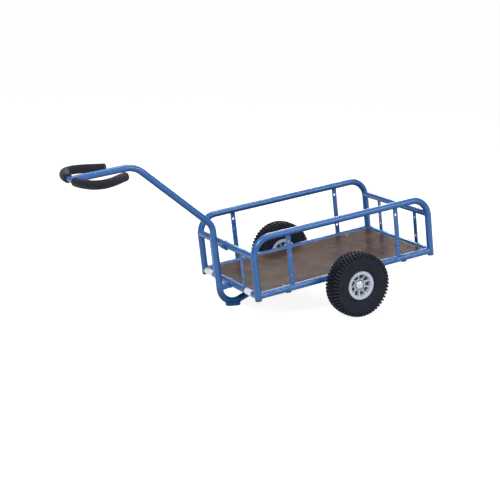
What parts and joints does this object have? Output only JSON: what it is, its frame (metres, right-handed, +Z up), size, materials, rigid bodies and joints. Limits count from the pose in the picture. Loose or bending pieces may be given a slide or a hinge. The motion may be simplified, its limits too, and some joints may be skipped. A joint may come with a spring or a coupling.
{
  "type": "hand cart",
  "caption": "Parked tubular hand cart: railed platform with a plywood deck, pneumatic wheels on a fixed axle, a parking foot, and a bent drawbar with a curved handle bow.",
  "frame": {"origin": "middle of the bounding box on the floor, in the parked stance", "axes": "+X to the rear of the cart, drawbar and handle at -X, +Y to its right side, +Z up from the floor"},
  "size_m": [1.5056, 0.7228, 0.5921],
  "materials": {
    "blue_powder_coat": "gloss powder coat",
    "film_faced_plywood": "film-faced birch plywood, smooth brown phenolic film",
    "zinc_plated_steel": "zinc plated",
    "bright_cap": "bright zinc dome cap",
    "grip_foam": "closed-cell foam",
    "black_plastic": "moulded",
    "white_label": "blank film label",
    "tyre_rubber": "block tread",
    "tube_rubber": "plain",
    "rim_plastic": "light grey moulded"
  },
  "bodies": {
    "frame": {"left_side_hoop": "blue_powder_coat", "right_side_hoop": "blue_powder_coat", "left_bottom_rail": "blue_powder_coat", "right_bottom_rail": "blue_powder_coat", "front_bottom_beam": "blue_powder_coat", "rear_bottom_beam": "blue_powder_coat", "front_top_rail": "blue_powder_coat", "rear_top_rail": "blue_powder_coat", "left_front_post": "blue_powder_coat", "left_rear_post": "blue_powder_coat", "right_front_post": "blue_powder_coat", "right_rear_post": "blue_powder_coat", "front_left_post": "blue_powder_coat", "front_right_post": "blue_powder_coat", "rear_left_post": "blue_powder_coat", "rear_right_post": "blue_powder_coat", "deck_panel": "film_faced_plywood", "front_deck_strip": "blue_powder_coat", "rear_deck_strip": "blue_powder_coat", "deck_screws": "zinc_plated_steel", "left_axle_plate": "blue_powder_coat", "right_axle_plate": "blue_powder_coat", "axle": "zinc_plated_steel", "axle_spacers": "zinc_plated_steel", "drawbar_tube": "blue_powder_coat", "drawbar_anchor": "blue_powder_coat", "drawbar_end_plug": "black_plastic", "anchor_bolt": "zinc_plated_steel", "anchor_nut": "zinc_plated_steel", "upper_drawbar_bracket": "blue_powder_coat", "lower_drawbar_bracket": "blue_powder_coat", "bracket_bolts": "blue_powder_coat", "bracket_nuts": "zinc_plated_steel", "parking_foot": "blue_powder_coat", "handle_bow": "blue_powder_coat", "left_grip": "grip_foam", "right_grip": "grip_foam", "leg_end_caps": "black_plastic", "label_plates": "white_label", "left_hub_washers": "zinc_plated_steel", "left_axle_cap": "bright_cap", "right_hub_washers": "zinc_plated_steel", "right_axle_cap": "bright_cap"},
    "left_wheel": {"left_tyre": "tyre_rubber", "left_inner_tube": "tube_rubber", "left_rim_outer": "rim_plastic", "left_rim_inner": "rim_plastic", "left_rim_screws": "zinc_plated_steel"},
    "left_bearing": {"left_roller_cage": "black_plastic", "left_rollers": "zinc_plated_steel"},
    "right_wheel": {"right_tyre": "tyre_rubber", "right_inner_tube": "tube_rubber", "right_rim_outer": "rim_plastic", "right_rim_inner": "rim_plastic", "right_rim_screws": "zinc_plated_steel"},
    "right_bearing": {"right_roller_cage": "black_plastic", "right_rollers": "zinc_plated_steel"}
  },
  "joints": [
    {"name": "left_wheel_spin", "type": "hinge", "parent": "frame", "child": "left_wheel", "pos_m": [0.33803, -0.3189, 0.13], "axis": [0, 1, 0], "continuous": true},
    {"name": "left_bearing_spin", "type": "hinge", "parent": "frame", "child": "left_bearing", "pos_m": [0.33803, -0.3189, 0.13], "axis": [0, 1, 0], "continuous": true},
    {"name": "right_wheel_spin", "type": "hinge", "parent": "frame", "child": "right_wheel", "pos_m": [0.33803, 0.3189, 0.13], "axis": [0, 1, 0], "continuous": true},
    {"name": "right_bearing_spin", "type": "hinge", "parent": "frame", "child": "right_bearing", "pos_m": [0.33803, 0.3189, 0.13], "axis": [0, 1, 0], "continuous": true}
  ],
  "couplings": [
    {"joint": "left_bearing_spin", "follows": "left_wheel_spin", "ratio": 0.5745},
    {"joint": "right_bearing_spin", "follows": "right_wheel_spin", "ratio": 0.5745}
  ]
}
